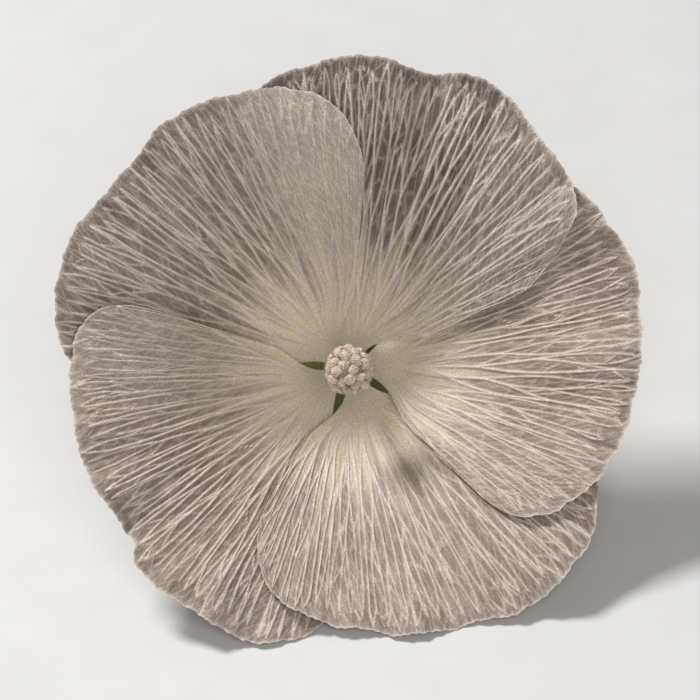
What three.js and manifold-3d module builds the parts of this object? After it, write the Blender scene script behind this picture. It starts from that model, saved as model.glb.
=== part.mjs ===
// A musk mallow flower, picked with a short stalk and laid down.
//
// Five broad petals overlap in a spiral round a funnel-shaped throat. Each petal has a narrow claw, so five
// windows open between the claws, and the pointed lobes of the calyx stand behind those windows. The
// filaments are joined in one slender column that carries a round head of stamens. Three narrow bractlets
// stand under the calyx, and the stalk ends in a straight cut.
//
// The flower is drawn upright in its own frame, in millimetres: its axis is +Z, the petals' claws start near
// z = 0 and the face looks along +Z. The last section lays it down. It then rests on the rims of its two
// lower petals and on the end of its stalk, and its face looks up at a slant.

import * as THREE from "three";
import { mergeVertices } from "three/addons/utils/BufferGeometryUtils.js";
import Module from "manifold-3d";

const wasm = await Module();
wasm.setup();

// ---------------------------------------------------------------- driving dimensions, mm and degrees

const DEG = Math.PI / 180;
const GAP = 0.3; // clearance kept between neighbouring pieces

const CLAW_RADIUS = 1.9; // the petals start this far off the axis
const CLAW_HALF_ANGLE = 28; // half the angle that a claw takes up
const FULL_BLADE_RADIUS = 9; // from here out a blade has its full angle
const FUNNEL_DEPTH = 24; // the height that the funnel's curve tends to
const FUNNEL_REACH = 19; // how far out the funnel keeps rising
const FUNNEL_START = 2.8; // the radius at which the funnel passes z = 0
const PETAL_THICKNESS = 0.3;
const BLADE_PITCH = 0.8; // a blade twists by this much per radian, so that it clears its neighbours
const FULL_PITCH_RADIUS = 5.5;
const RUFFLE_FROM = 17; // the waves of the rim start here
const RUFFLE_FULL = 31;
// The waves of the rim, right round the flower: height, number of waves, shift.
const RUFFLE_WAVES = [
  [0.5, 9, 1.3],
  [0.3, 14, 0.4],
  [0.25, 23, 0],
];
const MIDLINE_GROOVE = 0.7; // depth of the furrow down the middle of a petal, at its rim
const MIDLINE_HALF_WIDTH = 5; // degrees

const HEAD_CENTRE = 15.8; // height of the middle of the stamen head
const HEAD_RADIUS = 2.35; // the anthers' middles lie on this sphere
const COLUMN_RADIUS = 0.6;
const COLUMN_FOOT_RADIUS = 1.3;
const COLUMN_TOP_RADIUS = 0.85;
const STAMENS = 42;
const FILAMENT_RADIUS = 0.11;
const ANTHER_SIZE = [0.47, 0.33, 0.3]; // half length, half width, half depth
const ANTHER_TURN = 77; // each anther is turned this much further about its filament than the last
const HEAD_LOWEST = -0.78; // the head is open below this share of its radius, where the column comes in
const GOLDEN_ANGLE = 137.508;

const CALYX_THICKNESS = 0.45;
const CALYX_FIRST_LOBE = 106; // direction of the first lobe; it stands behind a window between claws
const CALYX_CUP_SHARE = 0.52; // the share of the calyx's length that is joined into a cup
// Outside of the calyx, from the hole for the stalk to the tip of a lobe: radius, height.
const CALYX_PROFILE = [
  [1.3, -7.3],
  [3.4, -6.6],
  [5.0, -4.8],
  [5.8, -2.4],
  [6.2, 0],
  [6.9, 2.2],
  [8.1, 4.2],
  [9.3, 5.7],
];

const BRACTLETS = [85, 205, 325]; // directions
const BRACTLET_HALF_WIDTH = 0.75;
const BRACTLET_THICKNESS = 0.35;
const BRACTLET_EDGE_BEND = 0.12; // its edges stand this far outside its middle
// Middle of a bractlet, from its foot to its tip: radius, height.
const BRACTLET_PROFILE = [
  [4.6, -6.2],
  [6.5, -3.4],
  [7.5, -0.2],
  [8.9, 3.4],
  [10.8, 6.9],
];

// The stalk runs up through the calyx and widens into the receptacle that carries the flower.
const STALK_END = -13;
const STALK_RADIUS = 0.75;
const NECK_RADIUS = 0.95;
const RECEPTACLE_RADIUS = 3.1;
const RECEPTACLE_WIDEST = -4.2;
const RECEPTACLE_TOP = -1.25;
const RECEPTACLE_FOOT = -6.5;

const LEAN_FROM_UPRIGHT = 52; // about how far the laid flower leans; its three feet settle the rest

// Each petal: the direction of its middle, and its rim from the edge that lies on top of the next petal to
// the edge that lies under the one before, as angle from the middle and radius.
const PETALS = [
  {
    name: "petal_upper_left",
    middle: 136,
    rim: [
      [-50.5, 21], [-48.5, 23.6], [-44.5, 26.4], [-38, 28.8], [-28.5, 30.2], [-18, 31.2], [-9.6, 31.6],
      [-5, 31.3], [-1.8, 30.7], [3, 30.5], [9.4, 30.8], [17, 31.4], [23, 31.5], [33, 30.6], [42, 28.4],
      [49, 24], [51, 19.5],
    ],
  },
  {
    name: "petal_upper_right",
    middle: 77,
    rim: [
      [-54, 18.5], [-52.4, 20.9], [-47.4, 25], [-44.3, 27.3], [-40.7, 29.2], [-34, 30.2], [-17.6, 32.2],
      [-10, 32.6], [-1.4, 31.3], [8, 32.3], [18.4, 31.5], [29.4, 30.3], [38, 27], [43, 22.5], [44, 18.5],
    ],
  },
  {
    name: "petal_right",
    middle: 10,
    rim: [
      [-53.6, 18.6], [-53.4, 20.6], [-51.6, 23], [-48.2, 24.7], [-42, 26.4], [-34.2, 27.9], [-21.8, 29],
      [-6.1, 30.2], [2, 30.1], [8.2, 31], [19, 30.5], [28, 29.9], [38, 28], [46, 23.6], [48, 19],
    ],
  },
  {
    name: "petal_lower_right",
    middle: -68,
    rim: [
      [-53.4, 16.5], [-52, 19.2], [-46.2, 22.6], [-39, 24.9], [-26.3, 26.3], [-17.4, 26.9], [-9, 28.1],
      [0.3, 28.5], [6, 28.9], [13, 30.2], [22, 30.6], [32, 30.2], [42.8, 28.1], [50, 24], [52, 19.5],
    ],
  },
  {
    name: "petal_left",
    middle: -147,
    rim: [
      [-50, 21], [-49, 24.4], [-45.6, 27], [-37.5, 28.5], [-22.8, 28.8], [-9.7, 28.9], [0.3, 28.1],
      [5.7, 28.0], [9.5, 29.5], [20.7, 29.5], [34, 29.6], [41, 28.9], [48.6, 27.1], [54, 23.4], [55, 19],
    ],
  },
];

const PETAL_COLOUR = 0xb3a49e;
const ANTHER_COLOUR = 0xd9cdb8;
const COLUMN_COLOUR = 0xd8cfb4;
const SEPAL_COLOUR = 0xb4b791;
const STALK_COLOUR = 0x9fa67c;

// ---------------------------------------------------------------- shared tools

const smoothstep = THREE.MathUtils.smoothstep;

function finish(colour, roughness) {
  return new THREE.MeshStandardMaterial({ color: colour, roughness, metalness: 0 });
}

// A closed shell from a grid of mid-surface points and normals: grid[i][j] = { point, normal }. With wrap,
// each row closes on itself.
function shell(grid, thickness, wrap) {
  const rows = grid.length;
  const columns = grid[0].length;
  const positions = [];
  const faces = [];
  const side = (sign) =>
    grid.forEach((row) =>
      row.forEach(({ point, normal }) => {
        positions.push(...point.clone().addScaledVector(normal, (sign * thickness) / 2).toArray());
      }),
    );
  side(1);
  side(-1);
  const back = rows * columns;
  const at = (i, j) => i * columns + (j % columns);
  const quad = (a, b, c, d) => faces.push(a, b, c, a, c, d);
  const last = wrap ? columns : columns - 1;
  for (let i = 0; i + 1 < rows; i++)
    for (let j = 0; j < last; j++) {
      quad(at(i, j), at(i + 1, j), at(i + 1, j + 1), at(i, j + 1));
      quad(back + at(i, j), back + at(i, j + 1), back + at(i + 1, j + 1), back + at(i + 1, j));
    }
  for (let j = 0; j < last; j++) {
    const top = rows - 1;
    quad(at(top, j), back + at(top, j), back + at(top, j + 1), at(top, j + 1));
    quad(at(0, j + 1), back + at(0, j + 1), back + at(0, j), at(0, j));
  }
  if (!wrap)
    for (let i = 0; i + 1 < rows; i++) {
      quad(at(i, 0), back + at(i, 0), back + at(i + 1, 0), at(i + 1, 0));
      quad(at(i + 1, last), back + at(i + 1, last), back + at(i, last), at(i, last));
    }
  const geometry = new THREE.BufferGeometry();
  geometry.setAttribute("position", new THREE.Float32BufferAttribute(positions, 3));
  geometry.setIndex(faces);
  geometry.computeVertexNormals();
  return geometry;
}

// The normal of a surface given as a function of two parameters, by small steps.
function normalOf(surface, a, b, step) {
  const along = surface(a + step, b).sub(surface(a - step, b));
  const across = surface(a, b + step).sub(surface(a, b - step));
  return along.cross(across).normalize();
}

// A solid turned round the flower's axis from radius and height pairs.
function turned(profile, sides) {
  const points = profile.map(([radius, height]) => new THREE.Vector2(radius, height));
  return new THREE.LatheGeometry(points, sides).rotateX(Math.PI / 2);
}

function solidOf(geometry) {
  const bare = geometry.clone();
  bare.deleteAttribute("normal");
  bare.deleteAttribute("uv");
  const merged = mergeVertices(bare, 1e-4);
  const vertProperties = new Float32Array(merged.attributes.position.array);
  const triVerts = new Uint32Array(merged.index.array);
  return new wasm.Manifold(new wasm.Mesh({ numProp: 3, vertProperties, triVerts }));
}

function joined(...geometries) {
  const mesh = geometries.map(solidOf).reduce((a, b) => a.add(b)).getMesh();
  const geometry = new THREE.BufferGeometry();
  geometry.setAttribute("position", new THREE.Float32BufferAttribute(mesh.vertProperties, 3));
  geometry.setIndex([...mesh.triVerts]);
  geometry.computeVertexNormals();
  return geometry;
}

// ---------------------------------------------------------------- petals

const PETAL_ROWS = 9;
const PETAL_COLUMNS = 24;
const NORMAL_STEP = 0.02; // the small step, in degrees and in mm, that a normal is taken over

// Height of the funnel at a radius.
function funnel(radius) {
  return FUNNEL_DEPTH * Math.tanh((radius - FUNNEL_START) / FUNNEL_REACH);
}

function funnelSlope(radius) {
  const t = Math.tanh((radius - FUNNEL_START) / FUNNEL_REACH);
  return (FUNNEL_DEPTH / FUNNEL_REACH) * (1 - t * t);
}

// Waves of the rim. All petals share them, so that overlapping blades nest.
function ruffle(radius, direction) {
  const waves = RUFFLE_WAVES.map(([height, count, shift]) => height * Math.sin(count * direction + shift));
  return waves.reduce((a, b) => a + b) * smoothstep(radius, RUFFLE_FROM, RUFFLE_FULL);
}

// Half the angle of a petal at a radius, on the side whose blade reaches to fullAngle.
function halfAngle(radius, fullAngle) {
  return CLAW_HALF_ANGLE + (fullAngle - CLAW_HALF_ANGLE) * smoothstep(radius, CLAW_RADIUS, FULL_BLADE_RADIUS);
}

// A point of a petal's mid-surface at an angle from its middle, in degrees, and a radius.
function petalPoint(petal, angle, radius) {
  const direction = (petal.middle + angle) * DEG;
  const pitch = BLADE_PITCH * smoothstep(radius, CLAW_RADIUS, FULL_PITCH_RADIUS);
  const outward = smoothstep(radius, RUFFLE_FROM, RUFFLE_FULL);
  const groove = MIDLINE_GROOVE * outward * Math.exp(-((angle / MIDLINE_HALF_WIDTH) ** 2));
  const lift = ruffle(radius, direction) - pitch * angle * DEG - groove;
  const slope = funnelSlope(radius);
  const steepness = Math.hypot(1, slope);
  const r = radius - (lift * slope) / steepness;
  const z = funnel(radius) + lift / steepness;
  return new THREE.Vector3(r * Math.cos(direction), r * Math.sin(direction), z);
}

// Spaced points of the rim, each with its radius and its share of the petal's half angle, from -1 to 1.
function rimOf(petal) {
  const knots = petal.rim.map(
    ([angle, radius]) => new THREE.Vector2(radius * Math.cos(angle * DEG), radius * Math.sin(angle * DEG)),
  );
  const [first, last] = [-petal.rim[0][0], petal.rim.at(-1)[0]];
  return new THREE.SplineCurve(knots).getSpacedPoints(PETAL_COLUMNS).map((p) => {
    const angle = p.angle() > Math.PI ? p.angle() - 2 * Math.PI : p.angle();
    const full = angle < 0 ? first : last;
    const share = angle / DEG / halfAngle(p.length(), full);
    return { share: THREE.MathUtils.clamp(share, -1, 1), radius: p.length(), full };
  });
}

function petalGeometry(petal) {
  const rim = rimOf(petal);
  const surface = (angle, radius) => petalPoint(petal, angle, radius);
  const grid = [];
  for (let i = 0; i <= PETAL_ROWS; i++)
    grid.push(
      rim.map(({ share, radius, full }) => {
        const r = THREE.MathUtils.lerp(CLAW_RADIUS, radius, i / PETAL_ROWS);
        const angle = share * halfAngle(r, full);
        return { point: surface(angle, r), normal: normalOf(surface, angle, r, NORMAL_STEP).negate() };
      }),
    );
  return shell(grid, PETAL_THICKNESS, false);
}

// ---------------------------------------------------------------- calyx and bractlets

const LOBES = 5;
const CALYX_ROWS = 9;
const COLUMNS_PER_LOBE = 8;
const BRACTLET_ROWS = 8;
const BRACTLET_SIDES = [-1, -0.5, 0, 0.5, 1]; // across a bractlet, from edge to edge

function splineThrough(profile) {
  return new THREE.SplineCurve(profile.map(([radius, height]) => new THREE.Vector2(radius, height)));
}

// A point of a shell that stands round the axis, and the normal there: its place along the shell's profile,
// its direction in degrees, and how far outside the profile it lies.
function pointRound(curve, share, direction, outward) {
  const p = curve.getPointAt(share);
  const t = curve.getTangentAt(share);
  const [cos, sin] = [Math.cos(direction * DEG), Math.sin(direction * DEG)];
  const radius = p.x + t.y * outward;
  const point = new THREE.Vector3(radius * cos, radius * sin, p.y - t.x * outward);
  return { point, normal: new THREE.Vector3(-t.y * cos, -t.y * sin, t.x) };
}

// How far along its profile the calyx reaches at a share of a lobe's half angle. Each lobe is a long point
// on a broad base.
function lobeReach(share) {
  const s = Math.abs(share);
  const point = 0.55 * (1 - s) ** 1.6 + 0.45 * (1 - s * s) ** 1.1;
  return CALYX_CUP_SHARE + (1 - CALYX_CUP_SHARE) * point;
}

function calyxGeometry() {
  const curve = splineThrough(CALYX_PROFILE);
  const columns = LOBES * COLUMNS_PER_LOBE;
  const grid = [];
  for (let i = 0; i <= CALYX_ROWS; i++) {
    const row = [];
    for (let j = 0; j < columns; j++) {
      const inLobe = ((j % COLUMNS_PER_LOBE) / COLUMNS_PER_LOBE) * 2 - 1;
      const direction = CALYX_FIRST_LOBE + (j / columns) * 360 + 180 / LOBES;
      row.push(pointRound(curve, (i / CALYX_ROWS) * lobeReach(inLobe), direction, -CALYX_THICKNESS / 2));
    }
    grid.push(row);
  }
  return shell(grid, CALYX_THICKNESS, true);
}

// A narrow leaf, widest below its middle, with its edges bent a little outward.
function bractletGeometry(direction) {
  const curve = splineThrough(BRACTLET_PROFILE);
  const grid = [];
  for (let i = 0; i <= BRACTLET_ROWS; i++) {
    const share = i / BRACTLET_ROWS;
    const halfWidth = BRACTLET_HALF_WIDTH * (0.72 + 0.9 * share) * (1 - share) ** 0.75 + 0.08;
    const spread = halfWidth / curve.getPointAt(share).x / DEG;
    const row = BRACTLET_SIDES.map((side) =>
      pointRound(curve, share, direction + side * spread, BRACTLET_EDGE_BEND * side ** 2),
    );
    grid.push(row);
  }
  return shell(grid, BRACTLET_THICKNESS, false);
}

// ---------------------------------------------------------------- column and stamens

function columnGeometry() {
  const foot = RECEPTACLE_TOP + GAP;
  const profile = [
    [0, foot],
    [COLUMN_FOOT_RADIUS, foot],
    [COLUMN_FOOT_RADIUS, foot + 0.5],
    [0.95, 1.2],
    [0.72, 4],
    [COLUMN_RADIUS, 9],
    [COLUMN_RADIUS, HEAD_CENTRE - COLUMN_TOP_RADIUS],
  ];
  for (let a = -30; a < 90; a += 30)
    profile.push([
      COLUMN_TOP_RADIUS * Math.cos(a * DEG),
      HEAD_CENTRE + COLUMN_TOP_RADIUS * Math.sin(a * DEG),
    ]);
  profile.push([0, HEAD_CENTRE + COLUMN_TOP_RADIUS]);
  return turned(profile, 14);
}

// Directions spread evenly over the head, apart from the cone where the column comes in.
function stamenDirection(k) {
  const up = 1 - ((k + 0.5) / STAMENS) * (1 - HEAD_LOWEST);
  const around = k * GOLDEN_ANGLE * DEG;
  const out = Math.sqrt(1 - up * up);
  return new THREE.Vector3(out * Math.cos(around), out * Math.sin(around), up);
}

// One stamen: a short straight filament and a kidney of an anther across its end. It is drawn along +Z.
function stamenGeometry(k) {
  const start = COLUMN_TOP_RADIUS + GAP;
  const length = HEAD_RADIUS - start;
  const filament = new THREE.CylinderGeometry(FILAMENT_RADIUS, FILAMENT_RADIUS, length, 5);
  filament.rotateX(Math.PI / 2).translate(0, 0, start + length / 2);
  const anther = new THREE.SphereGeometry(1, 8, 5).scale(...ANTHER_SIZE);
  anther.rotateZ(k * ANTHER_TURN * DEG).translate(0, 0, HEAD_RADIUS);
  return joined(filament, anther);
}

// ---------------------------------------------------------------- stalk

// One piece from the cut end up through the calyx, where it widens into a low round dome.
function stalkGeometry() {
  const profile = [
    [0, STALK_END],
    [STALK_RADIUS, STALK_END],
    [STALK_RADIUS * 0.95, -10.2],
    [NECK_RADIUS, -8.7],
    [NECK_RADIUS, RECEPTACLE_FOOT],
  ];
  for (let a = -60; a < 90; a += 30) {
    const height = a < 0 ? RECEPTACLE_WIDEST - RECEPTACLE_FOOT : RECEPTACLE_TOP - RECEPTACLE_WIDEST;
    profile.push([RECEPTACLE_RADIUS * Math.cos(a * DEG), RECEPTACLE_WIDEST + height * Math.sin(a * DEG)]);
  }
  profile.push([0, RECEPTACLE_TOP]);
  return turned(profile, 16);
}

// ---------------------------------------------------------------- the flower

const flower = new THREE.Group();

function add(name, geometry, material) {
  const mesh = new THREE.Mesh(geometry, material);
  mesh.name = name;
  flower.add(mesh);
  return mesh;
}

const petalFinish = finish(PETAL_COLOUR, 0.6);
for (const petal of PETALS) add(petal.name, petalGeometry(petal), petalFinish);

const sepalFinish = finish(SEPAL_COLOUR, 0.7);
add("calyx", calyxGeometry(), sepalFinish);
BRACTLETS.forEach((direction, k) => add(`bractlet_${k + 1}`, bractletGeometry(direction), sepalFinish));

add("staminal_column", columnGeometry(), finish(COLUMN_COLOUR, 0.6));

const antherFinish = finish(ANTHER_COLOUR, 0.8);
for (let k = 0; k < STAMENS; k++) {
  const stamen = add(`stamen_${String(k + 1).padStart(2, "0")}`, stamenGeometry(k), antherFinish);
  stamen.position.z = HEAD_CENTRE;
  stamen.quaternion.setFromUnitVectors(new THREE.Vector3(0, 0, 1), stamenDirection(k));
}

add("stalk", stalkGeometry(), finish(STALK_COLOUR, 0.7));

// ---------------------------------------------------------------- lying down, on the table at z = 0

const UP = new THREE.Vector3(0, 0, 1);
const FEET = ["petal_lower_right", "petal_left", "stalk"];

function lowestPoint(mesh) {
  const corners = mesh.geometry.attributes.position;
  const lowest = new THREE.Vector3(0, 0, Infinity);
  const corner = new THREE.Vector3();
  for (let i = 0; i < corners.count; i++) {
    corner.fromBufferAttribute(corners, i).applyMatrix4(mesh.matrixWorld);
    if (corner.z < lowest.z) lowest.copy(corner);
  }
  return lowest;
}

// Tilts the flower until the lowest points of its three feet are level.
function settle(group) {
  const rounds = 12;
  for (let round = 0; round < rounds; round++) {
    group.updateMatrixWorld(true);
    const [a, b, c] = FEET.map((name) => lowestPoint(group.getObjectByName(name)));
    const normal = b.sub(a).cross(c.sub(a)).normalize();
    if (normal.z < 0) normal.negate();
    group.quaternion.premultiply(new THREE.Quaternion().setFromUnitVectors(normal, UP));
  }
}

// Turns the flower on the table until its face looks along -Y.
function faceForward(group) {
  const face = UP.clone().applyQuaternion(group.quaternion);
  const turn = Math.atan2(-face.x, -face.y);
  group.quaternion.premultiply(new THREE.Quaternion().setFromAxisAngle(UP, turn));
}

flower.rotation.x = LEAN_FROM_UPRIGHT * DEG;
settle(flower);
faceForward(flower);
flower.updateMatrixWorld(true);
const box = new THREE.Box3().setFromObject(flower, true);
const middle = box.getCenter(new THREE.Vector3());
flower.position.set(-middle.x, -middle.y, -box.min.z);

export default flower;
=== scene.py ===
import math

import bpy
import numpy as np
from mathutils import Matrix


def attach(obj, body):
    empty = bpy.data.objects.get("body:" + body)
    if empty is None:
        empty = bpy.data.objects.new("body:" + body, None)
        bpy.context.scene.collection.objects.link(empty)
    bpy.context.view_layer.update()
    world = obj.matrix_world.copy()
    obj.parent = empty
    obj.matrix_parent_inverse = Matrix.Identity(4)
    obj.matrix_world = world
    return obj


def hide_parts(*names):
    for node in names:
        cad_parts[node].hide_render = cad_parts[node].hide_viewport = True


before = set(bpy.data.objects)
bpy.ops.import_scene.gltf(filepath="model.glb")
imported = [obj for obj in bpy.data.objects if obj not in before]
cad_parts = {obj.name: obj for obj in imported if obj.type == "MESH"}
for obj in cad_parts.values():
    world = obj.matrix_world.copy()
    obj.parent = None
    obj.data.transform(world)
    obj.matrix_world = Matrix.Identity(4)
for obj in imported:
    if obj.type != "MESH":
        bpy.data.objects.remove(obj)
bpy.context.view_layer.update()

# ---------------------------------------------------------------- how the flower lies
# The picked flower lies on the rims of its two lower petals and on its stalk, so its own axis slants. Its
# pieces are drawn upright in millimetres, with the face up and the petals' claws near z = 0, and are then
# carried to where the stalk, the column and the first bractlet lie.

MM = 0.001
STALK_END = -13.0
FIRST_BRACTLET = math.radians(85)


def corners_of(node):
    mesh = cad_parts[node].data
    flat = np.empty(len(mesh.vertices) * 3)
    mesh.vertices.foreach_get("co", flat)
    return np.unique(flat.reshape(-1, 3).round(7), axis=0)


def unit(vector):
    return vector / np.linalg.norm(vector)


stalk_corners = corners_of("stalk")
flower_axis = unit(corners_of("staminal_column").mean(0) - stalk_corners.mean(0))
cut_end = ((stalk_corners - stalk_corners.mean(0)) @ flower_axis).min()
flower_origin = stalk_corners.mean(0) + flower_axis * (cut_end - STALK_END * MM)
sideways = corners_of("bractlet_1").mean(0) - flower_origin
sideways = unit(sideways - flower_axis * (sideways @ flower_axis))
flower_x = math.cos(FIRST_BRACTLET) * sideways - math.sin(FIRST_BRACTLET) * np.cross(flower_axis, sideways)
flower_turn = np.column_stack([flower_x, np.cross(flower_axis, flower_x), flower_axis])


def laid(points):
    """Points of the upright flower, in millimetres, where they lie in the frame, in metres."""
    return flower_origin + MM * np.asarray(points) @ flower_turn.T


# ---------------------------------------------------------------- camera
# It looks straight into the open flower, along its axis, so it looks down on the flower as it lies. It is
# far off and its lens is long, so the near and the far petals keep their proportions.

VIEW_WIDTH = 71.1  # millimetres seen across at the rim
VIEW_DISTANCE = 520.0
RIM_HEIGHT = 20.0
VIEW_CENTRE = (0.1, 2.0)
SENSOR = 36.0

camera_data = bpy.data.cameras.new("camera")
camera_data.sensor_width = SENSOR
camera_data.lens = SENSOR * VIEW_DISTANCE / VIEW_WIDTH
camera_data.clip_start = 0.01
camera = bpy.data.objects.new("camera", camera_data)
bpy.context.scene.collection.objects.link(camera)
camera_place = Matrix(flower_turn.tolist()).to_4x4()
camera_place.translation = laid([*VIEW_CENTRE, RIM_HEIGHT + VIEW_DISTANCE])
camera.matrix_world = camera_place
bpy.context.scene.camera = camera

# ---------------------------------------------------------------- floor and lights
# A plain pale floor with faint specks. A soft light stands high behind the flower, a broader and weaker one
# stands in front of it, and faint light comes from all round.


def material_of(name):
    material = bpy.data.materials.new(name)
    material.use_nodes = True
    tree = material.node_tree
    return material, tree, tree.nodes["Principled BSDF"]


def place(tree, kind, settings=None, **inputs):
    """Adds a node. An input is a value, or the output socket that feeds it; _ in its name is a space."""
    node = tree.nodes.new(kind)
    for key, value in (settings or {}).items():
        setattr(node, key, value)
    for key, value in inputs.items():
        name = key.replace("_", " ")
        socket = node.inputs[int(name[1:])] if name[0] == "i" and name[1:].isdigit() else node.inputs[name]
        if isinstance(value, bpy.types.NodeSocket):
            tree.links.new(value, socket)
        else:
            socket.default_value = value
    return node


floor_mesh = bpy.data.meshes.new("floor")
floor_mesh.from_pydata([(-3, -3, 0), (3, -3, 0), (3, 3, 0), (-3, 3, 0)], [], [(0, 1, 2, 3)])
floor = bpy.data.objects.new("floor", floor_mesh)
bpy.context.scene.collection.objects.link(floor)
floor_paint, tree, shader = material_of("pale floor")
shader.inputs["Roughness"].default_value = 0.8
specks = place(tree, "ShaderNodeTexNoise", Scale=900.0, Detail=2.0)
speckled = place(tree, "ShaderNodeMix", {"data_type": "RGBA"}, Factor=specks.outputs["Fac"],
                 i6=(0.56, 0.555, 0.545, 1), i7=(0.61, 0.605, 0.595, 1))
tree.links.new(speckled.outputs[2], shader.inputs["Base Color"])
floor_mesh.materials.append(floor_paint)


def soft_light(name, place_mm, size, power):
    data = bpy.data.lights.new(name, "AREA")
    data.shape = "DISK"
    data.size = size
    data.energy = power
    light = bpy.data.objects.new(name, data)
    light.location = [v * MM for v in place_mm]
    aim = light.location.copy() - Matrix.Translation((0, 0, 0.02)).translation
    light.rotation_euler = aim.to_track_quat("Z", "Y").to_euler()
    bpy.context.scene.collection.objects.link(light)


soft_light("key", (-190, 110, 420), 0.12, 2.3)
soft_light("fill", (60, -430, 345), 0.3, 1.45)

world = bpy.data.worlds.new("soft surroundings")
world.use_nodes = True
world.node_tree.nodes["Background"].inputs["Color"].default_value = (1.0, 0.985, 0.96, 1)
world.node_tree.nodes["Background"].inputs["Strength"].default_value = 0.22
bpy.context.scene.world = world
bpy.context.scene.view_settings.view_transform = "Standard"

# ---------------------------------------------------------------- stalk
# A short ribbed and hairy stalk, cut straight across. It runs up through the calyx and widens into the low
# dome that carries the petals and the column.


def smooth(x, low, high):
    t = np.clip((x - low) / (high - low), 0, 1)
    return t * t * (3 - 2 * t)


def curve_through(knots, share):
    """Points of a smooth curve through the knots, at shares of its length."""
    knots = np.asarray(knots, float)
    padded = np.vstack([knots[0], knots, knots[-1]])
    t = np.linspace(0, 1, 40, endpoint=False)[:, None]
    spans = []
    for a, b, c, d in zip(padded, padded[1:], padded[2:], padded[3:]):
        spans.append(b + (c - a) / 2 * t + (a - 2.5 * b + 2 * c - d / 2) * t**2
                     + ((d - a) / 2 + 1.5 * (b - c)) * t**3)
    fine = np.vstack([*spans, knots[-1:]])
    length = np.concatenate([[0], np.cumsum(np.linalg.norm(np.diff(fine, axis=0), axis=1))])
    at = np.asarray(share) * length[-1]
    return np.stack([np.interp(at, length, fine[:, k]) for k in range(knots.shape[1])], -1)


def waves(x, rng, slowest, count, fall=1.0):
    """A sum of sine waves of x with seeded phases, each about twice as fast as the one before."""
    total = np.zeros_like(x)
    for k in range(count):
        total += np.sin(x * slowest * 1.9**k + rng.uniform(0, 2 * math.pi)) / (1.0 + fall * k)
    return total / count


def sweep_round(radius, height, direction):
    return np.stack([radius * np.cos(direction), radius * np.sin(direction), height + 0 * direction], -1)


def capped(rings):
    """A closed solid from rings of points, closed by a point in the middle of its first and last ring."""
    rows, columns = rings.shape[:2]
    index = np.arange(rows * columns).reshape(rows, columns)
    index = np.hstack([index, index[:, :1]])
    walls = np.stack([index[:-1, :-1], index[:-1, 1:], index[1:, 1:], index[1:, :-1]], -1).reshape(-1, 4)
    first, last = rows * columns, rows * columns + 1
    foot = np.stack([index[0, 1:], index[0, :-1], np.full(columns, first)], -1)
    top = np.stack([index[-1, :-1], index[-1, 1:], np.full(columns, last)], -1)
    points = np.vstack([rings.reshape(-1, 3), rings[0].mean(0)[None], rings[-1].mean(0)[None]])
    return points, walls.tolist() + foot.tolist() + top.tolist()


def hairs(roots, out, length, width, rng):
    """Bent tapering hairs on the roots, each a slim closed spike that stands along out."""
    count = len(roots)
    out = out + rng.normal(0, 0.35, out.shape)
    out /= np.linalg.norm(out, axis=1, keepdims=True)
    side = np.cross(out, rng.normal(size=out.shape))
    side /= np.linalg.norm(side, axis=1, keepdims=True)
    other = np.cross(out, side)
    length = length * rng.uniform(0.5, 1.2, (count, 1))
    rings = []
    for reach, bend, half in ((-0.05, 0.0, width / 2), (0.5, 0.06, width / 3)):
        middle = roots + out * length * reach + side * length * bend
        for turn in (0, 2.1, 4.2):
            rings.append(middle + half * (math.cos(turn) * side + math.sin(turn) * other))
    tip = roots + out * length + side * length * 0.25
    points = np.stack([*rings, tip], 1).reshape(-1, 3)
    spike = np.array([(0, 2, 1), (0, 1, 4), (0, 4, 3), (1, 2, 5), (1, 5, 4), (2, 0, 3), (2, 3, 5),
                      (3, 4, 6), (4, 5, 6), (5, 3, 6)])
    faces = (spike[None] + 7 * np.arange(count)[:, None, None]).reshape(-1, 3)
    return points, faces.tolist(), {"hair": 1.0}


def make_piece(name, parts, material, node, sharp=50):
    """One object from parts of (corners in millimetres, faces, {attribute: value at each corner})."""
    corners, faces, start = [], [], 0
    names = sorted({key for part in parts for key in part[2]})
    values = {key: [] for key in names}
    for points, part_faces, attributes in parts:
        corners.append(points)
        faces += [[corner + start for corner in face] for face in part_faces]
        start += len(points)
        for key in names:
            values[key].append(np.broadcast_to(attributes.get(key, 0.0), len(points)))
    mesh = bpy.data.meshes.new(name)
    mesh.from_pydata(laid(np.vstack(corners)).tolist(), [], faces)
    for key in names:
        layer = mesh.attributes.new(key, "FLOAT", "POINT")
        layer.data.foreach_set("value", np.concatenate(values[key]).astype(np.float32))
    mesh.polygons.foreach_set("use_smooth", [True] * len(mesh.polygons))
    mesh.set_sharp_from_angle(angle=math.radians(sharp))
    mesh.materials.append(material)
    piece = bpy.data.objects.new(name, mesh)
    bpy.context.scene.collection.objects.link(piece)
    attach(piece, "root")
    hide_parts(node)
    return piece


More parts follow.
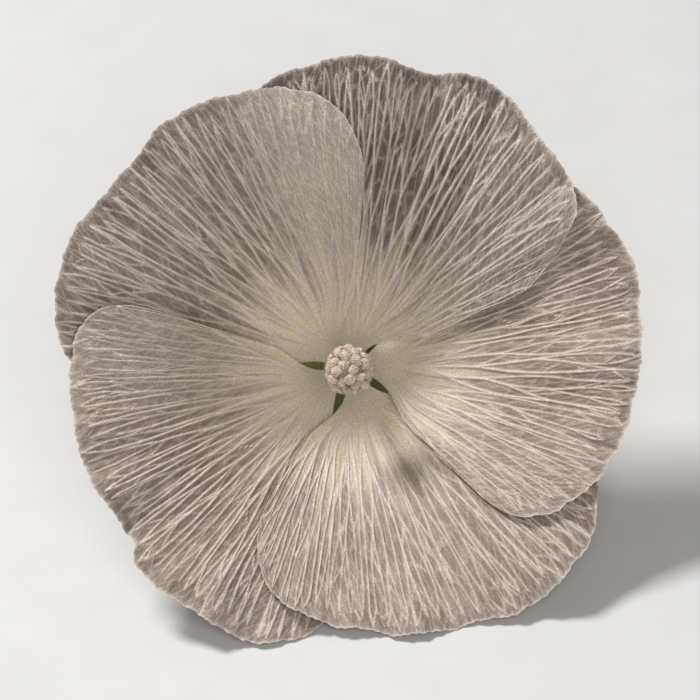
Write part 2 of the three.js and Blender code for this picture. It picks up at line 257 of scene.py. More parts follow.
def tissue_group():
    """Living tissue: a ground colour that drifts to a second one in soft blotches, pale veins, a finer net
    of veinlets stretched along the blade, a throat colour, a fine grain, and a height for the bump."""
    group = bpy.data.node_groups.new("plant tissue", "ShaderNodeTree")
    for name, kind in [("Ground", "Color"), ("Blotch", "Color"), ("Vein", "Color"), ("Throat", "Color"),
                       ("Vein mask", "Float"), ("Throat mask", "Float"), ("Lighter", "Float"),
                       ("Grain", "Float"), ("Blotch size", "Float"), ("Across", "Float"),
                       ("Outward", "Float"), ("Net", "Float")]:
        group.interface.new_socket(name, in_out="INPUT", socket_type=f"NodeSocket{kind}")
    for name, kind in [("Color", "Color"), ("Height", "Float"), ("Roughness", "Float")]:
        group.interface.new_socket(name, in_out="OUTPUT", socket_type=f"NodeSocket{kind}")
    given = group.nodes.new("NodeGroupInput").outputs
    taken = group.nodes.new("NodeGroupOutput").inputs
    where = place(group, "ShaderNodeTexCoord").outputs["Object"]
    blotch = place(group, "ShaderNodeTexNoise", Vector=where, Scale=given["Blotch size"], Detail=4.0)
    grain = place(group, "ShaderNodeTexNoise", Vector=where, Scale=5200.0, Detail=3.0, Roughness=0.65)
    cells = place(group, "ShaderNodeTexVoronoi", {"feature": "DISTANCE_TO_EDGE"}, Vector=where, Scale=2600.0)
    spread = place(group, "ShaderNodeMapRange", Value=blotch.outputs["Fac"], From_Min=0.36, From_Max=0.64)
    ground = place(group, "ShaderNodeMix", {"data_type": "RGBA"}, Factor=spread.outputs[0],
                   i6=given["Ground"], i7=given["Blotch"])
    on_blade = place(group, "ShaderNodeCombineXYZ", X=given["Across"], Y=given["Outward"])
    meshes = place(group, "ShaderNodeTexVoronoi", {"feature": "DISTANCE_TO_EDGE"},
                   Vector=on_blade.outputs[0], Scale=1.0)
    veinlet = place(group, "ShaderNodeMapRange", Value=meshes.outputs["Distance"], From_Max=0.13,
                    To_Min=1.0, To_Max=0.0)
    netted = place(group, "ShaderNodeMath", {"operation": "MULTIPLY"}, i0=veinlet.outputs[0],
                   i1=given["Net"])
    # On the petals, Lighter holds painted light where a petal lies double.
    light = place(group, "ShaderNodeMath", {"operation": "MULTIPLY_ADD"}, i0=given["Lighter"], i1=0.4,
                  i2=netted.outputs[0])
    doubled = place(group, "ShaderNodeMix", {"data_type": "RGBA"}, Factor=light.outputs[0],
                    i6=ground.outputs[2], i7=given["Vein"])
    throat = place(group, "ShaderNodeMix", {"data_type": "RGBA"}, Factor=given["Throat mask"],
                   i6=doubled.outputs[2], i7=given["Throat"])
    # On the petals the vein mask also holds a painted highlight along the rim.
    veined = place(group, "ShaderNodeMix", {"data_type": "RGBA"}, Factor=given["Vein mask"],
                   i6=throat.outputs[2], i7=given["Vein"])
    fleck = place(group, "ShaderNodeMapRange", Value=grain.outputs["Fac"], From_Min=0.3, From_Max=0.7,
                  To_Min=0.68, To_Max=1.30)
    flecked = place(group, "ShaderNodeMix", {"data_type": "RGBA", "blend_type": "MULTIPLY"},
                    Factor=given["Grain"], i6=veined.outputs[2], i7=fleck.outputs[0])
    group.links.new(flecked.outputs[2], taken["Color"])
    edge = place(group, "ShaderNodeMapRange", Value=cells.outputs["Distance"], From_Max=0.25)
    grained = place(group, "ShaderNodeMath", {"operation": "MULTIPLY_ADD"}, i0=grain.outputs["Fac"],
                    i1=0.6, i2=edge.outputs[0])
    rough = place(group, "ShaderNodeMath", {"operation": "MULTIPLY_ADD"}, i0=netted.outputs[0], i1=3.0,
                  i2=grained.outputs[0])
    group.links.new(rough.outputs[0], taken["Height"])
    dull = place(group, "ShaderNodeMapRange", Value=grain.outputs["Fac"], To_Min=0.5, To_Max=0.72)
    group.links.new(dull.outputs[0], taken["Roughness"])
    return group


tissue = tissue_group()


def attribute(tree, name):
    return place(tree, "ShaderNodeAttribute", {"attribute_name": name}).outputs["Fac"]


def tissue_material(name, ground, blotch, vein, throat, blotch_size, grain, bump, through, net=0.0):
    """Tissue with its own colours. through is how much light passes and colours the far side."""
    material, tree, shader = material_of(name)
    body = place(tree, "ShaderNodeGroup", {"node_tree": tissue}, Ground=(*ground, 1), Blotch=(*blotch, 1),
                 Vein=(*vein, 1), Throat=(*throat, 1), Vein_mask=attribute(tree, "vein"),
                 Throat_mask=attribute(tree, "throat"), Lighter=attribute(tree, "lighter"), Grain=grain,
                 Blotch_size=blotch_size, Across=attribute(tree, "across"),
                 Outward=attribute(tree, "outward"), Net=net)
    relief = place(tree, "ShaderNodeBump", Height=body.outputs["Height"], Strength=bump, Distance=0.00005)
    down = place(tree, "ShaderNodeMix", {"data_type": "RGBA"}, Factor=attribute(tree, "hair"),
                 i6=body.outputs["Color"], i7=(0.78, 0.78, 0.66, 1))
    tree.links.new(down.outputs[2], shader.inputs["Base Color"])
    tree.links.new(body.outputs["Roughness"], shader.inputs["Roughness"])
    tree.links.new(relief.outputs[0], shader.inputs["Normal"])
    shader.inputs["Specular IOR Level"].default_value = 0.25
    shader.inputs["Sheen Weight"].default_value = 0.1
    if through:
        glow = place(tree, "ShaderNodeBsdfTranslucent", Color=down.outputs[2])
        mixed = place(tree, "ShaderNodeMixShader", Fac=through)
        tree.links.new(shader.outputs[0], mixed.inputs[1])
        tree.links.new(glow.outputs[0], mixed.inputs[2])
        tree.links.new(mixed.outputs[0], tree.nodes["Material Output"].inputs["Surface"])
    return material


# Radius and height along the stalk, from the rim of its cut end to the middle of the dome.
STALK_PROFILE = [(0.62, STALK_END), (0.72, STALK_END + 0.12), (0.71, -11.6), (0.73, -10.2), (0.92, -8.7),
                 (0.93, -7.4), (0.95, -6.6), (2.2, -6.1), (2.95, -4.9), (3.05, -4.1), (2.65, -2.7),
                 (1.5, -1.55), (0.15, -1.27)]
STALK_RIBS = 9
STALK_SIDES = 72
STALK_HAIRS = 260

stalk_paint = tissue_material(
    "stalk", ground=(0.24, 0.30, 0.11), blotch=(0.33, 0.38, 0.17), vein=(0.50, 0.53, 0.30),
    throat=(0.62, 0.60, 0.40), blotch_size=420.0, grain=0.7, bump=0.5, through=0.0)

rng = np.random.default_rng(7)
around = np.linspace(0, 2 * math.pi, STALK_SIDES, endpoint=False)[None]
along = np.linspace(0, 1, 90)[:, None]
stalk_curve = curve_through(STALK_PROFILE, along[:, 0])
below_calyx = 1 - smooth(stalk_curve[:, 1:], -8.6, -7.4)
ribs = np.cos(around * STALK_RIBS + 0.6 * np.sin(along * 9))
stalk_radius = stalk_curve[:, :1] + 0.035 * ribs * below_calyx * smooth(along, 0, 0.03)
stalk_rings = sweep_round(stalk_radius, stalk_curve[:, 1:], around)
stalk_points, stalk_faces = capped(stalk_rings)
rib_light = np.append((0.35 + 0.3 * ribs * below_calyx).ravel(), [0.2, 0.2])
fresh_cut = np.append(np.broadcast_to(1 - smooth(along, 0.0, 0.02), ribs.shape).ravel(), [1, 0])
rows = rng.integers(4, 34, STALK_HAIRS)
sides = rng.integers(0, STALK_SIDES, STALK_HAIRS)
hair_out = sweep_round(np.ones(STALK_HAIRS), 0.25 * np.ones(STALK_HAIRS), around[0, sides])
make_piece("ribbed_stalk", [
    (stalk_points, stalk_faces, {"vein": rib_light, "throat": fresh_cut}),
    hairs(stalk_rings[rows, sides], hair_out, 0.55, 0.035, rng)], stalk_paint, "stalk", 40)

# ---------------------------------------------------------------- calyx
# Five sepals grown together into a ribbed cup, with a broad pointed lobe behind each window between the
# petals' claws. Fine hairs stand along its ribs and fringe its lobes.

# Radius and height of its outside, from the hole for the stalk to the tip of a lobe.
CALYX_PROFILE = [(1.3, -7.3), (3.4, -6.6), (5.0, -4.8), (5.8, -2.4), (6.2, 0), (6.9, 2.2), (8.1, 4.2),
                 (9.3, 5.7)]
CALYX_THICKNESS = 0.45
CALYX_FIRST_LOBE = math.radians(106)
CALYX_CUP_SHARE = 0.52
LOBES = 5
CALYX_ROWS = 52
CALYX_COLUMNS = 44 * LOBES
FRINGE_HAIRS = 620
RIB_HAIRS = 900


def beside_profile(profile, share, direction, outward):
    """Points beside a profile that stands round the axis, and the direction away from the axis there."""
    step = 1e-3
    point = curve_through(profile, np.clip(share, 0, 1))
    ahead = curve_through(profile, np.clip(share + step, 0, 1))
    ahead -= curve_through(profile, np.clip(share - step, 0, 1))
    ahead /= np.linalg.norm(ahead, axis=-1, keepdims=True)
    radius = point[..., 0] + ahead[..., 1] * outward
    height = point[..., 1] - ahead[..., 0] * outward
    out = sweep_round(ahead[..., 1], -ahead[..., 0], direction)
    return sweep_round(radius, height, direction), out


def closed_sheet(front, back, wrap=False):
    """Corners and faces of a closed sheet from the grids of its two sides. With wrap, its rows are rings."""
    rows, columns = front.shape[:2]
    index = np.arange(rows * columns).reshape(rows, columns)
    if wrap:
        index = np.hstack([index, index[:, :1]])
    other = index + rows * columns

    def strip(a, b):
        return np.stack([a[:-1], a[1:], b[1:], b[:-1]], -1)

    def block(i):
        return np.stack([i[:-1, :-1], i[:-1, 1:], i[1:, 1:], i[1:, :-1]], -1).reshape(-1, 4)

    faces = [block(index), block(other)[:, ::-1], strip(other[0], index[0]), strip(index[-1], other[-1])]
    if not wrap:
        faces += [strip(index[:, 0], other[:, 0]), strip(other[:, -1], index[:, -1])]
    return np.vstack([front.reshape(-1, 3), back.reshape(-1, 3)]), np.vstack(faces).tolist()


def on_both(values, shape):
    """Attribute values for both sides of a closed sheet."""
    return {key: np.tile(np.broadcast_to(value, shape).ravel(), 2) for key, value in values.items()}


calyx_paint = tissue_material(
    "calyx", ground=(0.30, 0.36, 0.15), blotch=(0.42, 0.46, 0.23), vein=(0.62, 0.64, 0.42),
    throat=(0.78, 0.86, 0.46), blotch_size=300.0, grain=0.7, bump=0.5, through=0.25)

rng = np.random.default_rng(11)
column = np.arange(CALYX_COLUMNS)[None]
in_lobe = (column % (CALYX_COLUMNS // LOBES)) / (CALYX_COLUMNS // LOBES) * 2 - 1
direction = CALYX_FIRST_LOBE + column / CALYX_COLUMNS * 2 * math.pi + math.pi / LOBES
reach = 0.55 * (1 - abs(in_lobe)) ** 1.6 + 0.45 * (1 - in_lobe**2) ** 1.1
reach = CALYX_CUP_SHARE + (1 - CALYX_CUP_SHARE) * reach
share = np.linspace(0, 1, CALYX_ROWS + 1)[:, None] * reach
direction = np.broadcast_to(direction, share.shape)
narrowing = 1 - 0.75 * smooth(share, CALYX_CUP_SHARE, 1.0)
lines = np.zeros_like(share)
for place_in_lobe, strength, half_width in ((0, 1, 0.07), (0.42, 0.7, 0.05), (-0.42, 0.7, 0.05),
                                            (0.99, 0.8, 0.06), (-0.99, 0.8, 0.06), (0.2, 0.35, 0.04),
                                            (-0.2, 0.35, 0.04), (0.68, 0.4, 0.04), (-0.68, 0.4, 0.04)):
    away = in_lobe - place_in_lobe * narrowing
    lines = np.maximum(lines, strength * np.exp(-((away / half_width) ** 2)))
fade = smooth(share, 0.05, 0.25)
wrinkle = 0.05 * waves(direction * 7 + share * 14, rng, 1.7, 3, 0.5)
swell = lines * 0.13 * fade + wrinkle
thickness = CALYX_THICKNESS * (1 - 0.55 * smooth(share / reach, 0.7, 1.0))
outside, away_from_axis = beside_profile(CALYX_PROFILE, share, direction, -0.12)
outside = outside + away_from_axis * swell[..., None]
inside = outside - away_from_axis * (thickness * 0.75)[..., None]
calyx_points, calyx_faces = closed_sheet(outside, inside, wrap=True)
fringe = rng.integers(0, CALYX_COLUMNS, FRINGE_HAIRS)
rib_rows = rng.integers(6, CALYX_ROWS - 2, RIB_HAIRS)
rib_columns = rng.integers(0, CALYX_COLUMNS, RIB_HAIRS)
edge_out = away_from_axis[-1, fringe] * 0.5 + (outside[-1, fringe] - outside[-4, fringe]) * 1.2
calyx_marks = on_both({"vein": 0.75 * lines * fade, "lighter": 0.6 * smooth(share, 0.5, 1)}, share.shape)
calyx_marks["throat"] = np.repeat([0.0, 1.0], share.size)  # only the inside is pale
make_piece("hairy_calyx", [
    (calyx_points, calyx_faces, calyx_marks),
    hairs(outside[-1, fringe], edge_out, 0.75, 0.035, rng),
    hairs(outside[rib_rows, rib_columns], away_from_axis[rib_rows, rib_columns], 0.5, 0.03, rng)],
    calyx_paint, "calyx")

# ---------------------------------------------------------------- bractlets
# Three narrow green leaves that stand off the calyx from its foot. Each has a keel along its middle, edges
# bent outward and a thin fringe of hairs.

BRACTLETS = [math.radians(a) for a in (85, 205, 325)]
BRACTLET_PROFILE = [(4.6, -6.2), (6.5, -3.4), (7.5, -0.2), (8.9, 3.4), (10.8, 6.9)]
BRACTLET_HALF_WIDTH = 0.75
BRACTLET_THICKNESS = 0.3
BRACTLET_HAIRS = 150

for number, middle in enumerate(BRACTLETS, 1):
    rng = np.random.default_rng(20 + number)
    share = np.linspace(0, 1, 61)[:, None]
    side = np.linspace(-1, 1, 17)[None]
    half_width = BRACTLET_HALF_WIDTH * (0.72 + 0.9 * share) * np.maximum(1 - share, 0) ** 0.75 + 0.04
    reached = curve_through(BRACTLET_PROFILE, share[:, 0])[:, :1]
    direction = middle + side * half_width / reached + 0.03 * waves(share * 6, rng, 1.5, 2)
    keel = np.exp(-((side / 0.16) ** 2))
    lines = np.maximum(keel, 0.5 * np.exp(-(((abs(side) - 0.55) / 0.1) ** 2))) + 0 * share
    flare = 0.14 * side**2 + 0.10 * waves(share * 9 + side, rng, 1.2, 3)
    share = share + 0 * side
    centre, out = beside_profile(BRACTLET_PROFILE, share, direction, flare)
    half = BRACTLET_THICKNESS / 2 * (1 - 0.6 * side**2) * (1 - 0.4 * share)
    front = centre + out * (half + 0.05 * lines)[..., None]
    points, faces = closed_sheet(front, centre - out * half[..., None])
    rows = rng.integers(2, 58, BRACTLET_HAIRS)
    edge = rng.choice([0, -1], BRACTLET_HAIRS)
    outward = out[rows, edge] + 1.2 * (centre[rows, edge] - centre[rows, 8])
    make_piece(f"fringed_bractlet_{number}", [
        (points, faces, on_both({"vein": 0.7 * lines, "lighter": 0.5 * share}, share.shape)),
        hairs(centre[rows, edge], outward, 0.6, 0.03, rng)], calyx_paint, f"bractlet_{number}")

# ---------------------------------------------------------------- petals
# Five thin, slightly translucent blades on narrow claws, fixed in a ring at the foot of the column. Each
# overlaps the next clockwise. Its raised veins fork and close in loops, and its rim is waved and creased.

CLAW_RADIUS = 1.9
CLAW_HALF_ANGLE = math.radians(28)
FULL_BLADE_RADIUS = 9.0
FUNNEL_DEPTH = 24.0
FUNNEL_REACH = 19.0
FUNNEL_START = 2.8
BLADE_PITCH = 0.8
FULL_PITCH_RADIUS = 5.5
RUFFLE_FROM = 17.0
RUFFLE_FULL = 31.0
MIDLINE_GROOVE = 0.7
MIDLINE_HALF_WIDTH = math.radians(5)

PETAL_ROWS = 62
PETAL_COLUMNS = 600
ROW_CROWDING = 0.66  # below 1, the rows crowd towards the rim
BLADE_THICKNESS = 0.2
RIM_THICKNESS = 0.09
RIM_CREASES = 4
CREASE_HEIGHT = 0.26
CREASE_HALF_WIDTH = 0.45
RIM_CURL = 0.32
RIM_TEETH = 0.3
BLADE_WAVE = 0.18
RIM_INSET = 0.3  # the finished rim lies this far inside the frame's, so that its waves stay off the floor
VEIN_SPACING = 1.15  # millimetres of room at which a vein forks
VEIN_HALF_WIDTH = 0.115
VEIN_HEIGHT = 0.24
FURROW_SPREAD = 3.0  # a vein lies in a furrow this many times as wide
VEINS_IN_CLAW = 6
LINK_CHANCE = 0.05  # that a vein is linked to the next one, in each row
FORK_SLOPE = 0.13  # how fast the two arms of a fork part
BARE_MARGIN = 0.6  # millimetres inside the rim where the veins have closed in loops
THROAT_RADIUS = 11.0

# The direction of each petal's middle, how much paler it is painted where it lies double (painted light, as
# if the petal beneath lit it through), a darkening of its blade below 1 (painted shade for a petal that less
# light falls on), and its rim from the edge on top of the next petal to the edge under the one before:
# degrees from the middle, and millimetres from the axis.
PETALS = {
    "petal_upper_left": (136, 1.0, 0.84, [
        (-50.5, 21), (-48.5, 23.6), (-44.5, 26.4), (-38, 28.8), (-28.5, 30.2), (-18, 31.2), (-9.6, 31.6),
        (-5, 31.3), (-1.8, 30.7), (3, 30.5), (9.4, 30.8), (17, 31.4), (23, 31.5), (33, 30.6), (42, 28.4),
        (49, 24), (51, 19.5)]),
    "petal_upper_right": (77, 0.5, 0.48, [
        (-54, 18.5), (-52.4, 20.9), (-47.4, 25), (-44.3, 27.3), (-40.7, 29.2), (-34, 30.2), (-17.6, 32.2),
        (-10, 32.6), (-1.4, 31.3), (8, 32.3), (18.4, 31.5), (29.4, 30.3), (38, 27), (43, 22.5), (44, 18.5)]),
    "petal_right": (10, 0.2, 0.9, [
        (-53.6, 18.6), (-53.4, 20.6), (-51.6, 23), (-48.2, 24.7), (-42, 26.4), (-34.2, 27.9), (-21.8, 29),
        (-6.1, 30.2), (2, 30.1), (8.2, 31), (19, 30.5), (28, 29.9), (38, 28), (46, 23.6), (48, 19)]),
    "petal_lower_right": (-68, 0.3, 0.96, [
        (-53.4, 16.5), (-52, 19.2), (-46.2, 22.6), (-39, 24.9), (-26.3, 26.3), (-17.4, 26.9), (-9, 28.1),
        (0.3, 28.5), (6, 28.9), (13, 30.2), (22, 30.6), (32, 30.2), (42.8, 28.1), (50, 24), (52, 19.5)]),
    "petal_left": (-147, 0.5, 0.96, [
        (-50, 21), (-49, 24.4), (-45.6, 27), (-37.5, 28.5), (-22.8, 28.8), (-9.7, 28.9), (0.3, 28.1),
        (5.7, 28.0), (9.5, 29.5), (20.7, 29.5), (34, 29.6), (41, 28.9), (48.6, 27.1), (54, 23.4), (55, 19)]),
}


def half_angle(radius, full):
    """Half the angle that a petal spans at a radius: narrow in the claw, and full from the blade on."""
    return CLAW_HALF_ANGLE + (full - CLAW_HALF_ANGLE) * smooth(radius, CLAW_RADIUS, FULL_BLADE_RADIUS)


def on_funnel(direction, radius, lift):
    """Points of the funnel, lifted along its normal. Radius is measured before the lift."""
    rise = np.tanh((radius - FUNNEL_START) / FUNNEL_REACH)
    slope = FUNNEL_DEPTH / FUNNEL_REACH * (1 - rise**2)
    steepness = np.hypot(1, slope)
    return sweep_round(radius - lift * slope / steepness, FUNNEL_DEPTH * rise + lift / steepness, direction)


def vein_tracks(width, step, rng):
    """Veins that start in the claw and fork wherever they have room. width is the blade's width in each row
    and step the way to it from the row before, in millimetres. A track is its first row, its strength and
    its place across in each row, from -1 to 1. Also gives the tracks of each row in order."""
    tracks = [[0, 1.0, [place]] for place in np.linspace(-0.8, 0.8, VEINS_IN_CLAW)]
    slopes = [0.0] * len(tracks)
    order = list(range(len(tracks)))
    orders = [list(order)]
    for row in range(1, len(width)):
        places = np.array([tracks[k][2][-1] for k in order])
        walls = np.concatenate([[-1.0 - (places[0] + 1) * 0.2], places, [1.0 + (1 - places[-1]) * 0.2]])
        off_middle = ((walls[:-2] + walls[2:]) / 2 - places) * width[row] / 2
        room = (walls[2:] - walls[:-2]) / 4 * width[row]
        slope = np.array([slopes[k] for k in order])
        slope = slope * (1 - 0.3 * step[row]) + 0.09 * off_middle * step[row]
        slope = slope + rng.normal(0, 0.016, len(order))
        places = np.sort(np.clip(places + slope * step[row] * 2 / width[row], -0.995, 0.995))
        grown = []
        for k, place, lean, space in zip(order, places, slope, room):
            tracks[k][2].append(place)
            slopes[k] = lean
            grown.append(k)
            if space > VEIN_SPACING * rng.uniform(0.6, 1.6):
                slopes[k] = lean - FORK_SLOPE
                tracks.append([row, tracks[k][1] * rng.uniform(0.6, 1.0) ** 0.5, [min(place + 1e-4, 0.997)]])
                slopes.append(lean + FORK_SLOPE)
                grown.append(len(tracks) - 1)
        order = grown
        orders.append(list(order))
    return tracks, orders


def close_loops(tracks, order, from_rim, rng):
    """Bends the veins of each neighbouring pair together, so that they close in a pointed loop inside the
    rim. from_rim is how far each row is from the rim, in millimetres."""
    for pair in zip(order[0::2], order[1::2]):
        end_distance = BARE_MARGIN * rng.uniform(0.6, 3.2)
        end = int(np.searchsorted(-from_rim, -end_distance))
        start = int(np.searchsorted(-from_rim, -(end_distance + rng.uniform(1.4, 3.0))))
        start = max([start] + [tracks[k][0] + 1 for k in pair])
        for row in range(start, min(end + 1, len(from_rim))):
            t = (row - start + 1) / (end - start + 1)
            apex = sum(tracks[k][2][row - tracks[k][0]] for k in pair) / 2
            for k in pair:
                first, _, places = tracks[k]
                places[row - first] += (apex - places[row - first]) * t**1.8
        for k in pair:
            del tracks[k][2][max(end - tracks[k][0] + 1, 1):]


def vein_net(share, width, step, from_rim, rng):
    """Height of the vein net in each row and column of a blade, and depth of the furrows along it, 0 to 1."""
    tracks, orders = vein_tracks(width, step, rng)
    rows = len(width)
    lines = [[] for _ in range(rows)]
    for row in range(5, rows - 6):
        for left, right in zip(orders[row], orders[row][1:]):
            if rng.random() > LINK_CHANCE:
                continue
            if rng.random() < 0.5:
                left, right = right, left
            span = int(rng.integers(4, 10))
            end = min(row + span, rows - 5)
            start_place = tracks[left][2][row - tracks[left][0]]
            end_place = tracks[right][2][end - tracks[right][0]]
            strength = rng.uniform(0.45, 0.95)
            for k in range(row, end + 1):
                t = (k - row) / (end - row)
                lines[k].append((start_place + (end_place - start_place) * t, 0.85, strength))
    close_loops(tracks, orders[-1], from_rim, rng)
    for first, strength, places in tracks:
        if len(places) < 2:
            continue
        reach = np.arange(first, first + len(places))
        slant = np.gradient(places) * width[reach] / 2 / step[reach]
        for row, place, lean in zip(reach, places, slant):
            lines[row].append((place, (1.15 - 0.35 * row / rows) * math.hypot(1, lean), strength))
    net = np.zeros((rows, share.shape[1]))
    furrow = np.zeros_like(net)
    for row in range(rows):
        line = np.array(lines[row]) if lines[row] else np.array([[0.0, 1.0, 0.0]])
        away = (share[row][None, :] - line[:, 0][:, None]) * width[row] / 2
        across = away / (VEIN_HALF_WIDTH * line[:, 1][:, None])
        net[row] = (np.exp(-(across**2)) * line[:, 2][:, None]).max(0)
        furrow[row] = (np.exp(-((across / FURROW_SPREAD) ** 2)) * line[:, 2][:, None]).max(0)
    return net, furrow


def streaks(shape, rng):
    """A fine grain drawn out along the blade, about -1 to 1."""
    grain = rng.normal(size=shape)
    for _ in range(2):
        grain = (np.roll(grain, 1, 0) + 2 * grain + np.roll(grain, -1, 0)) / 4
    grain = (np.roll(grain, 1, 1) + 2 * grain + np.roll(grain, -1, 1)) / 4
    return grain / grain.std() / 2


def normals_of(grid):
    along = np.gradient(grid, axis=0)
    across = np.gradient(grid, axis=1)
    normal = np.cross(across, along)
    return normal / np.linalg.norm(normal, axis=-1, keepdims=True)


def petal_paint(name, painted_shade):
    """A petal's finish. Its blade is darkened by the factor given, below 1: painted shade for a petal that
    less light falls on.
    """
    ground = [painted_shade * c for c in (0.245, 0.190, 0.160)]
    blotch = [painted_shade * c for c in (0.325, 0.260, 0.224)]
    return tissue_material(name, ground, blotch, vein=(0.86, 0.755, 0.67), throat=(0.80, 0.74, 0.52),
                           blotch_size=150.0, grain=0.75, bump=0.7, through=0.2, net=0.24)


def petal_sheet(middle, doubled, rim, rng):
    """Corners, faces and attributes of one blade. doubled is how much paler it is painted where it lies
    double: painted light, as if the petal beneath lit it through.
    """
    middle = math.radians(middle)
    knots = [(r * math.cos(math.radians(a)), r * math.sin(math.radians(a))) for a, r in rim]
    edge = curve_through(knots, np.linspace(0, 1, PETAL_COLUMNS + 1))
    edge_angle = np.arctan2(edge[:, 1], edge[:, 0])
    edge_radius = np.hypot(edge[:, 0], edge[:, 1])
    full = np.where(edge_angle < 0, -math.radians(rim[0][0]), math.radians(rim[-1][0]))
    share = np.clip(edge_angle / half_angle(edge_radius, full), -1, 1)
    outer = 1 - smooth(np.abs(share), 0.86, 1.0)
    edge_radius = edge_radius + outer * RIM_TEETH * waves(edge_angle * 24, rng, 1.3, 4, 0.3) - RIM_INSET

    along = np.linspace(0, 1, PETAL_ROWS + 1)[:, None] ** ROW_CROWDING
    radius = CLAW_RADIUS + (edge_radius - CLAW_RADIUS) * along
    full = np.broadcast_to(full, radius.shape)
    share = np.broadcast_to(share, radius.shape)
    angle = share * half_angle(radius, full)
    direction = middle + angle
    width = 2 * (half_angle(radius, full) * radius).mean(1)

    ruffled = smooth(radius, RUFFLE_FROM, RUFFLE_FULL)
    lift = ruffled * (0.5 * np.sin(9 * direction + 1.3) + 0.3 * np.sin(14 * direction + 0.4)
                      + 0.25 * np.sin(23 * direction))
    lift = lift - BLADE_PITCH * smooth(radius, CLAW_RADIUS, FULL_PITCH_RADIUS) * angle
    lift = lift - MIDLINE_GROOVE * np.exp(-((angle / MIDLINE_HALF_WIDTH) ** 2)) * ruffled
    lift = lift + RIM_CURL * smooth(along, 0.8, 1.0) * waves(direction * 10, rng, 3.1, 3, 0.4)
    blade_wave = waves(direction * 22 + radius * 0.22, rng, 1.0, 3, 0.6) * smooth(radius, 6, 20)
    lift = lift + BLADE_WAVE * blade_wave
    for crease in rng.uniform(-0.6, 0.6, RIM_CREASES):
        fold = np.exp(-(((angle - crease) * radius / CREASE_HALF_WIDTH) ** 2)) * smooth(along, 0.78, 1.0)
        lift = lift + rng.choice([-1, 1]) * CREASE_HEIGHT * fold
    surface = on_funnel(direction, radius, lift)
    normal = normals_of(surface)
    if normal[PETAL_ROWS // 2, PETAL_COLUMNS // 2, 2] < 0:
        normal = -normal

    middle_radius = radius.mean(1)
    step = np.gradient(middle_radius)
    net, furrow = vein_net(share, width, step, middle_radius[-1] - middle_radius, rng)
    fine = streaks(radius.shape, rng) * smooth(radius, 4, 12)
    relief = VEIN_HEIGHT * smooth(radius, 3, 9) * (net - 0.45 * furrow - 0.1) + 0.016 * fine
    thickness = RIM_THICKNESS + (BLADE_THICKNESS - RIM_THICKNESS) * smooth(1 - along, 0.0, 0.12)
    front = surface + normal * (thickness / 2 + relief)[..., None]
    back = surface - normal * (thickness / 2 - 0.6 * relief)[..., None]

    streak = waves(share * 9 + np.zeros_like(radius), rng, 2.3, 4, 0.2)
    throat = 1 - smooth(radius + streak * 5.0, THROAT_RADIUS - 6.5, THROAT_RADIUS + 6.0)
    # Painted light: where the blade lies double over the next petal it is painted paler and its veins
    # fainter, as if the petal beneath lit it through.
    painted_double_glow = 1 - smooth(angle, -math.radians(33), -math.radians(14))
    painted_double_glow = doubled * painted_double_glow * smooth(radius, 6, 16)
    # Painted highlight: the last rows at the rim are mixed towards the pale vein colour, as if light caught
    # the edge.
    painted_rim_highlight = smooth(along, 0.985, 1.0)
    throat_streak = np.clip(waves(share * 26 + np.zeros_like(radius), rng, 1.1, 4, 0.2) + 0.2, 0, 1)
    broad = 0.9 * throat_streak * (1 - smooth(radius, 9, 15))
    vein = np.clip(net * 0.85 * (1 - 0.4 * painted_double_glow) + broad + 0.6 * painted_rim_highlight + 0.14 * fine, 0, 1)
    points, faces = closed_sheet(front, back)
    return points, faces, on_both({
        "vein": vein, "throat": throat, "lighter": painted_double_glow,
        "across": angle * radius * 1.5 + 40 * middle, "outward": radius * 0.42}, radius.shape)


for number, (name, (middle, doubled, painted_shade, rim)) in enumerate(PETALS.items()):
    sheet = petal_sheet(middle, doubled, rim, np.random.default_rng(100 + number))
    make_piece(name.replace("petal", "veined_petal"), [sheet], petal_paint(name, painted_shade), name)

# ---------------------------------------------------------------- column
# The filaments of all the stamens grow together into one slender downy tube, wider at its foot, that
# stands in the middle of the throat and ends in a small dome.

HEAD_CENTRE = 15.8
COLUMN_PROFILE = [(1.28, -0.94), (1.27, -0.5), (0.98, 1.2), (0.74, 4), (0.62, 9), (0.60, 14.2), (0.74, 15.2),
                  (0.82, 15.8), (0.60, 16.45), (0.05, 16.64)]
COLUMN_SIDES = 48
COLUMN_HAIRS = 420

column_paint = tissue_material(
    "column", ground=(0.62, 0.56, 0.40), blotch=(0.70, 0.65, 0.50), vein=(0.80, 0.76, 0.64),
    throat=(0.50, 0.54, 0.28), blotch_size=500.0, grain=0.5, bump=0.3, through=0.1)

rng = np.random.default_rng(31)
around = np.linspace(0, 2 * math.pi, COLUMN_SIDES, endpoint=False)[None]
along = np.linspace(0, 1, 110)[:, None]
column_curve = curve_through(COLUMN_PROFILE, along[:, 0])
ridges = np.cos(around * 10 + 1.3 * np.sin(along * 5))
ridged = 0.035 * ridges * smooth(along, 0.05, 0.2) * (1 - smooth(along, 0.85, 1))
column_radius = column_curve[:, :1] * (1 + ridged)
column_rings = sweep_round(column_radius, column_curve[:, 1:], around)
column_points, column_faces = capped(column_rings)
rows = rng.integers(8, 92, COLUMN_HAIRS)
sides = rng.integers(0, COLUMN_SIDES, COLUMN_HAIRS)
green_foot = np.broadcast_to(1 - smooth(column_curve[:, 1:], 0, 7), ridges.shape)
column_marks = {"vein": np.append((0.35 + 0.35 * ridges).ravel(), [0, 0]),
                "throat": np.append(green_foot.ravel(), [1, 0])}
hair_out = sweep_round(np.ones(COLUMN_HAIRS), 0.5 * np.ones(COLUMN_HAIRS), around[0, sides])
make_piece("downy_column", [
    (column_points, column_faces, column_marks),
    hairs(column_rings[rows, sides], hair_out, 0.3, 0.022, rng)], column_paint, "staminal_column")

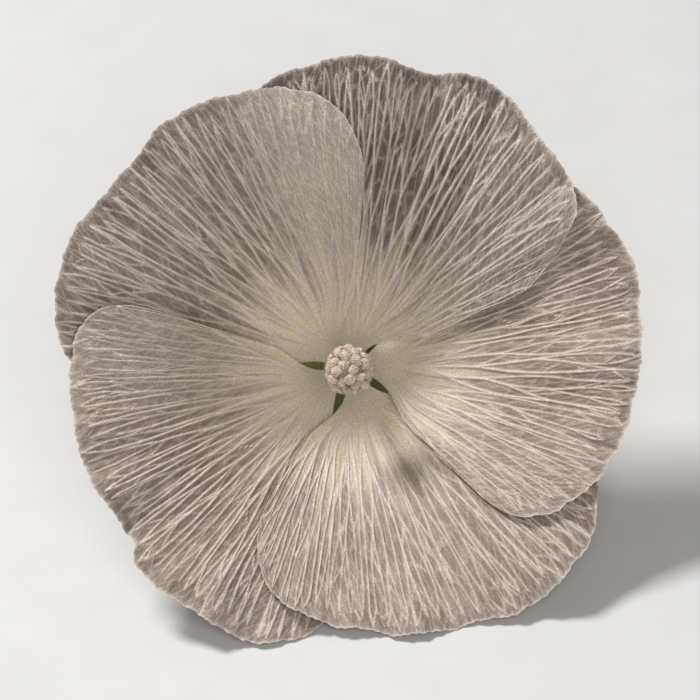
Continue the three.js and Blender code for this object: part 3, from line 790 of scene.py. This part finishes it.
# ---------------------------------------------------------------- stamens
# Each is a short bent filament that leaves the column's head, with an anther across its end. The anthers
# have burst open, and stand crowded, crumpled and grainy with pollen.

STAMENS = 42
HEAD_RADIUS = 2.35
LOWEST_STAMEN = -0.78
GOLDEN_ANGLE = math.radians(137.508)
FILAMENT_RADIUS = 0.085
FILAMENT_FOOT = 0.55
ANTHER_ROWS = 24
ANTHER_SIDES = 34


def anther_surface(rng):
    """Rings of a burst, crumpled anther round its own length, across +Z, and how deep its folds are, the mask
    of the painted shade in them.
    """
    round_it = np.linspace(0, 2 * math.pi, ANTHER_SIDES, endpoint=False)[None]
    length = np.linspace(0.06, math.pi - 0.06, ANTHER_ROWS)[:, None]
    size = np.sin(length) ** 0.7
    folds = np.zeros((ANTHER_ROWS, ANTHER_SIDES))
    for k in range(6):
        turns, slant, shift = rng.integers(2, 8), rng.uniform(3, 10), rng.uniform(0, 2 * math.pi)
        ridge = 1 - np.abs(np.sin(turns * round_it + slant * length * (-1) ** k + shift))
        folds += ridge / (1 + 0.3 * k)
    folds = ((folds - folds.min()) / (folds.max() - folds.min())) ** 1.3
    swollen = size * (0.55 + 0.95 * folds)
    x = -0.62 * np.cos(length) * (0.85 + 0.25 * folds)
    y = 0.48 * swollen * np.cos(round_it)
    z = 0.40 * swollen * np.sin(round_it) - 0.45 * x**2
    return np.stack([x, y, z], -1), 1 - folds


def filament_rings(length, rng):
    along = np.linspace(0, 1, 9)[:, None]
    round_it = np.linspace(0, 2 * math.pi, 8, endpoint=False)[None]
    bend = rng.uniform(-0.22, 0.22, 2)
    hump = np.sin(along * math.pi)
    width = FILAMENT_RADIUS * (1.25 - 0.45 * along)
    x = width * np.cos(round_it) + bend[0] * hump
    y = width * np.sin(round_it) + bend[1] * hump
    return np.stack([x, y, along * length + 0 * round_it], -1)


# Its throat colour is painted shade, laid into the deep folds of the anthers.
stamen_paint = tissue_material(
    "stamen", ground=(0.84, 0.72, 0.57), blotch=(0.90, 0.81, 0.68), vein=(0.92, 0.86, 0.74),
    throat=(0.56, 0.42, 0.28), blotch_size=2200.0, grain=0.7, bump=0.8, through=0.2)

for number in range(STAMENS):
    rng = np.random.default_rng(500 + number)
    up = 1 - (number + 0.5) / STAMENS * (1 - LOWEST_STAMEN)
    turn = number * GOLDEN_ANGLE
    out = np.array([math.sqrt(1 - up * up) * math.cos(turn), math.sqrt(1 - up * up) * math.sin(turn), up])
    side = unit(np.cross([0, 0, 1], out))
    frame_out = np.column_stack([side, np.cross(out, side), out])
    filament = filament_rings(HEAD_RADIUS - 0.1 - FILAMENT_FOOT, rng) + [0, 0, FILAMENT_FOOT]
    anther, folds = anther_surface(rng)
    spin = rng.uniform(0, math.pi)
    twist = np.array([[math.cos(spin), -math.sin(spin), 0], [math.sin(spin), math.cos(spin), 0], [0, 0, 1]])
    anther = anther @ twist.T * rng.uniform(0.88, 1.12) + [0, 0, HEAD_RADIUS + rng.uniform(-0.28, 0.02)]
    parts = []
    # The deep folds of each anther take the darker throat colour: painted shade in the folds.
    for rings, fold_shade in ((filament, np.zeros(filament.shape[:2])), (anther, folds * 0.7)):
        points, faces = capped(rings)
        marks = {"throat": np.append(fold_shade.ravel(), [0, 0])}
        parts.append((points @ frame_out.T + [0, 0, HEAD_CENTRE], faces, marks))
    digits = f"{number + 1:02d}"
    make_piece(f"split_anther_{digits}", parts, stamen_paint, f"stamen_{digits}", 60)
